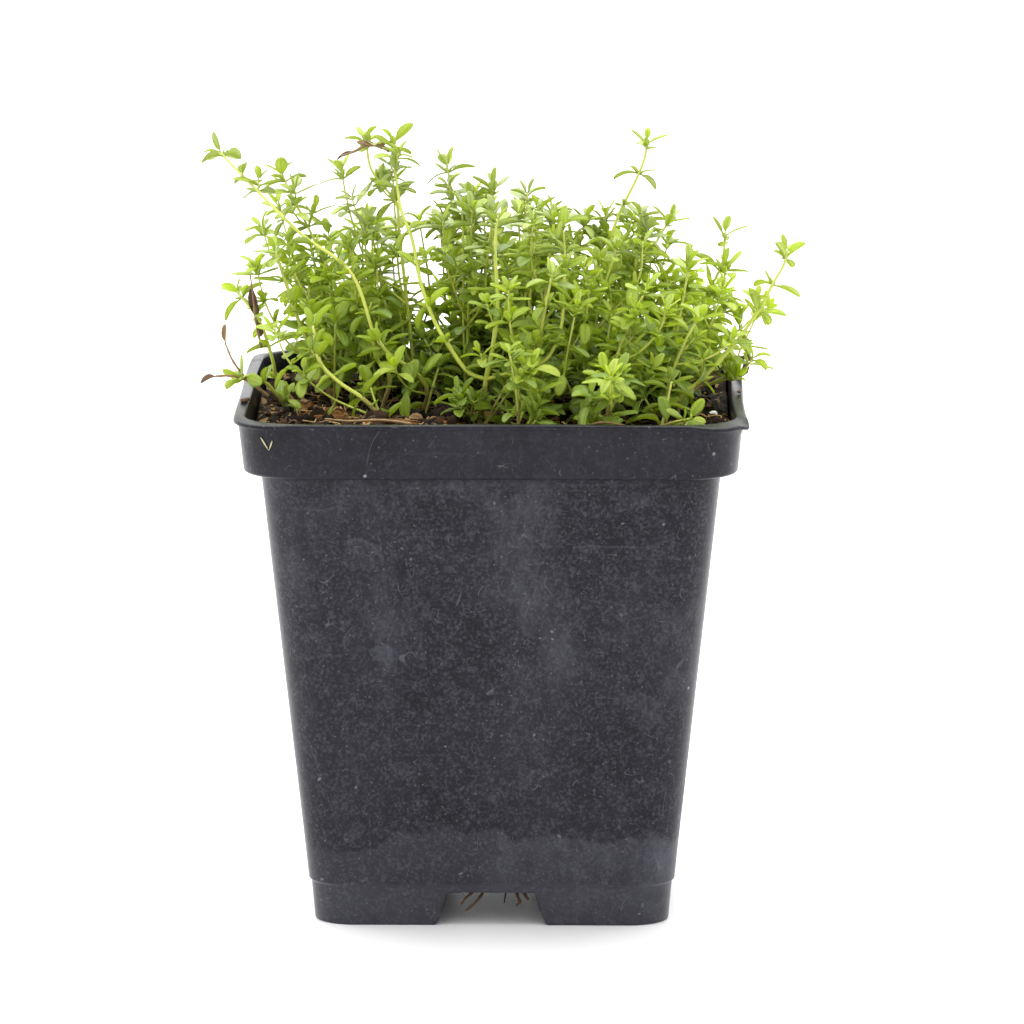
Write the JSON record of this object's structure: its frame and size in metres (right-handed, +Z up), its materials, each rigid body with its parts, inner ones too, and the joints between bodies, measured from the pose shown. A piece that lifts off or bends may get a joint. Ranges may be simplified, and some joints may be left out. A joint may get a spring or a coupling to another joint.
{
  "type": "potted thyme",
  "caption": "Thyme growing in a square tapered charcoal plastic nursery pot filled with potting soil.",
  "frame": {"origin": "on the surface the pot stands on, under the middle of the plant and pot together", "axes": "+Z up out of the soil, -Y out of the pot's front, +X to the right of the front, each square to the pot's sides"},
  "size_m": [0.1073, 0.09, 0.1377],
  "materials": {
    "plastic": "satin",
    "soil": "rough crumbly potting mix",
    "thyme": "soft satin leaf and green stem",
    "bark": "rough",
    "perlite": "matte"
  },
  "bodies": {
    "root": {"pot": "plastic", "soil": "soil", "bark_chip_1": "bark", "bark_chip_2": "bark", "bark_chip_3": "bark", "bark_chip_4": "bark", "perlite_grain_1": "perlite", "perlite_grain_2": "perlite", "sprig_far_left": "thyme", "sprig_centre": "thyme", "sprig_tall_right": "thyme", "sprig_right_rear": "thyme", "sprig_right": "thyme", "sprig_far_right": "thyme", "sprig_low_right": "thyme", "sprig_low_centre": "thyme", "sprig_front_left": "thyme", "sprig_bent": "thyme", "sprig_left": "thyme", "sprig_left_rim": "thyme", "sprig_trailing": "thyme", "sprig_rear": "thyme", "sprig_left_rear": "thyme", "sprig_rear_centre": "thyme", "sprig_centre_left": "thyme", "sprig_inner_right": "thyme", "sprig_outer_right": "thyme", "sprig_back_right": "thyme", "sprig_back_centre": "thyme", "sprig_01": "thyme", "sprig_02": "thyme", "sprig_03": "thyme", "sprig_04": "thyme", "sprig_05": "thyme", "sprig_06": "thyme", "sprig_07": "thyme", "sprig_08": "thyme", "sprig_09": "thyme", "sprig_11": "thyme", "sprig_12": "thyme", "sprig_13": "thyme", "sprig_14": "thyme", "sprig_15": "thyme", "sprig_16": "thyme", "sprig_17": "thyme", "sprig_18": "thyme", "sprig_19": "thyme", "sprig_20": "thyme", "sprig_21": "thyme", "sprig_22": "thyme", "sprig_23": "thyme", "sprig_24": "thyme", "sprig_25": "thyme", "sprig_26": "thyme", "sprig_27": "thyme"}
  },
  "joints": []
}
